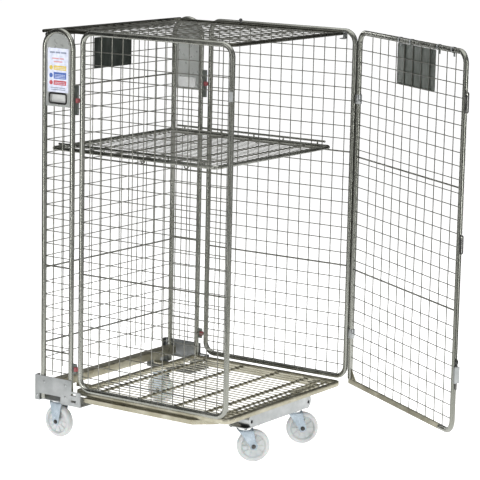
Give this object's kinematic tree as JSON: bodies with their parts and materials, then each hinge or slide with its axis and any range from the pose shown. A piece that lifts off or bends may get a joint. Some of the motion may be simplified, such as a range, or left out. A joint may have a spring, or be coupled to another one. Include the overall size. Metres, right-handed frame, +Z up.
{
  "type": "roll cage container",
  "caption": "Tall wheeled wire-mesh security cage with a full-height door shown open, a hinged lid, a lift-out shelf, a folding deck, end wings with hand slots, and nylon castors.",
  "frame": {"origin": "on the floor, under the middle of the outline at rest, with the door 59 degrees open", "axes": "+Z up, -Y towards the door side, +X towards the side panel that carries the door"},
  "size_m": [0.8446, 1.6532, 1.6095],
  "materials": {
    "zinc_tube": "bright zinc plate, satin",
    "zinc_wire": "bright zinc plated wire",
    "yellow_passivate": "zinc plate with a yellow passivate tint",
    "zinc_sheet": "zinc plated sheet",
    "white_nylon": "natural white nylon",
    "bolt_steel": "plain bolt steel",
    "painted_label": null,
    "plum_bush": "dark red bush"
  },
  "bodies": {
    "base": {"front_crossbar": "zinc_sheet", "rear_rail": "yellow_passivate", "back_mesh": "zinc_wire", "back_top_tube": "zinc_tube", "back_name_plate": "zinc_sheet", "left_side_rail": "yellow_passivate", "left_corner_bracket": "zinc_sheet", "left_wing_frame": "zinc_tube", "left_wing_head_plate": "painted_label", "left_wing_mesh": "zinc_wire", "left_panel_upper_hinge": "yellow_passivate", "left_panel_lower_hinge": "yellow_passivate", "rear_left_castor_fork": "zinc_sheet", "rear_left_castor_axle": "bolt_steel", "front_left_castor_plate": "zinc_sheet", "right_side_rail": "yellow_passivate", "right_corner_bracket": "zinc_sheet", "right_wing_frame": "zinc_tube", "right_wing_head_plate": "painted_label", "right_wing_mesh": "zinc_wire", "right_panel_upper_hinge": "yellow_passivate", "right_panel_lower_hinge": "yellow_passivate", "rear_right_castor_fork": "zinc_sheet", "rear_right_castor_axle": "bolt_steel", "front_right_castor_plate": "zinc_sheet"},
    "left_panel": {"left_panel_frame": "zinc_tube", "left_panel_mesh": "zinc_wire", "left_panel_upper_bush": "plum_bush", "left_panel_lower_bush": "plum_bush", "door_keeper": "zinc_sheet"},
    "right_panel": {"right_panel_frame": "zinc_tube", "right_panel_mesh": "zinc_wire", "right_panel_upper_bush": "plum_bush", "right_panel_lower_bush": "plum_bush", "door_upper_sleeve": "zinc_sheet", "door_lower_sleeve": "zinc_sheet"},
    "door": {"door_frame": "zinc_tube", "door_bottom_rail": "yellow_passivate", "door_mesh": "zinc_wire", "door_name_plate": "zinc_sheet", "door_bolt_guide": "zinc_sheet"},
    "top_catch": {"door_top_catch": "bolt_steel"},
    "middle_catch": {"door_middle_catch": "bolt_steel"},
    "drop_bolt": {"door_drop_bolt": "bolt_steel"},
    "lid": {"lid_frame": "zinc_tube", "lid_mesh": "zinc_wire", "lid_knob": "bolt_steel", "lid_catch": "zinc_sheet"},
    "deck": {"deck_frame": "yellow_passivate", "deck_mesh": "yellow_passivate"},
    "shelf": {"shelf_frame": "zinc_tube", "shelf_mesh": "zinc_wire"},
    "front_left_swivel": {"front_left_castor_fork": "zinc_sheet", "front_left_castor_axle": "bolt_steel"},
    "front_left_wheel": {"front_left_castor_wheel": "white_nylon"},
    "rear_left_wheel": {"rear_left_castor_wheel": "white_nylon"},
    "front_right_swivel": {"front_right_castor_fork": "zinc_sheet", "front_right_castor_axle": "bolt_steel"},
    "front_right_wheel": {"front_right_castor_wheel": "white_nylon"},
    "rear_right_wheel": {"rear_right_castor_wheel": "white_nylon"}
  },
  "joints": [
    {"name": "left_panel_hinge", "type": "hinge", "parent": "base", "child": "left_panel", "pos_m": [-0.409, 0.6206, 0.2295], "axis": [0, 0, 1], "range_deg": [-95, 0]},
    {"name": "right_panel_hinge", "type": "hinge", "parent": "base", "child": "right_panel", "pos_m": [0.409, 0.6206, 0.2295], "axis": [0, 0, 1], "range_deg": [0, 95]},
    {"name": "door_hinge", "type": "hinge", "parent": "right_panel", "child": "door", "pos_m": [0.409, -0.1034, 0.2295], "axis": [0, 0, 1], "range_deg": [-58.7, 141.3]},
    {"name": "lid_hinge", "type": "hinge", "parent": "base", "child": "lid", "pos_m": [0, 0.7521, 1.5855], "axis": [-1, 0, 0], "range_deg": [0, 105]},
    {"name": "deck_hinge", "type": "hinge", "parent": "base", "child": "deck", "pos_m": [0, 0.6331, 0.208], "axis": [-1, 0, 0], "range_deg": [0, 88]},
    {"name": "shelf_lift", "type": "slide", "parent": "base", "child": "shelf", "axis": [0, 0, 1], "range_m": [0, 0.1]},
    {"name": "top_catch_pin", "type": "hinge", "parent": "door", "child": "top_catch", "pos_m": [-0.02433, -0.81611, 1.4445], "axis": [0.5195, 0.8545, 0], "range_deg": [0, 90]},
    {"name": "middle_catch_pin", "type": "hinge", "parent": "door", "child": "middle_catch", "pos_m": [-0.02433, -0.81611, 0.9355], "axis": [0.5195, 0.8545, 0], "range_deg": [0, 90]},
    {"name": "drop_bolt_slide", "type": "slide", "parent": "door", "child": "drop_bolt", "axis": [0, 0, 1], "range_m": [0, 0.025]},
    {"name": "front_left_swivel", "type": "hinge", "parent": "base", "child": "front_left_swivel", "pos_m": [-0.168, -0.0009, 0.0625], "axis": [0, 0, 1], "continuous": true},
    {"name": "front_left_wheel_spin", "type": "hinge", "parent": "front_left_swivel", "child": "front_left_wheel", "pos_m": [-0.14614, -0.02695, 0.0625], "axis": [0.766, 0.6428, 0], "continuous": true},
    {"name": "rear_left_wheel_spin", "type": "hinge", "parent": "base", "child": "rear_left_wheel", "pos_m": [-0.331, 0.7641, 0.0625], "axis": [1, 0, 0], "continuous": true},
    {"name": "front_right_swivel", "type": "hinge", "parent": "base", "child": "front_right_swivel", "pos_m": [0.168, -0.0009, 0.0625], "axis": [0, 0, 1], "continuous": true},
    {"name": "front_right_wheel_spin", "type": "hinge", "parent": "front_right_swivel", "child": "front_right_wheel", "pos_m": [0.18985, -0.02695, 0.0625], "axis": [0.766, 0.6428, 0], "continuous": true},
    {"name": "rear_right_wheel_spin", "type": "hinge", "parent": "base", "child": "rear_right_wheel", "pos_m": [0.331, 0.7641, 0.0625], "axis": [1, 0, 0], "continuous": true}
  ]
}
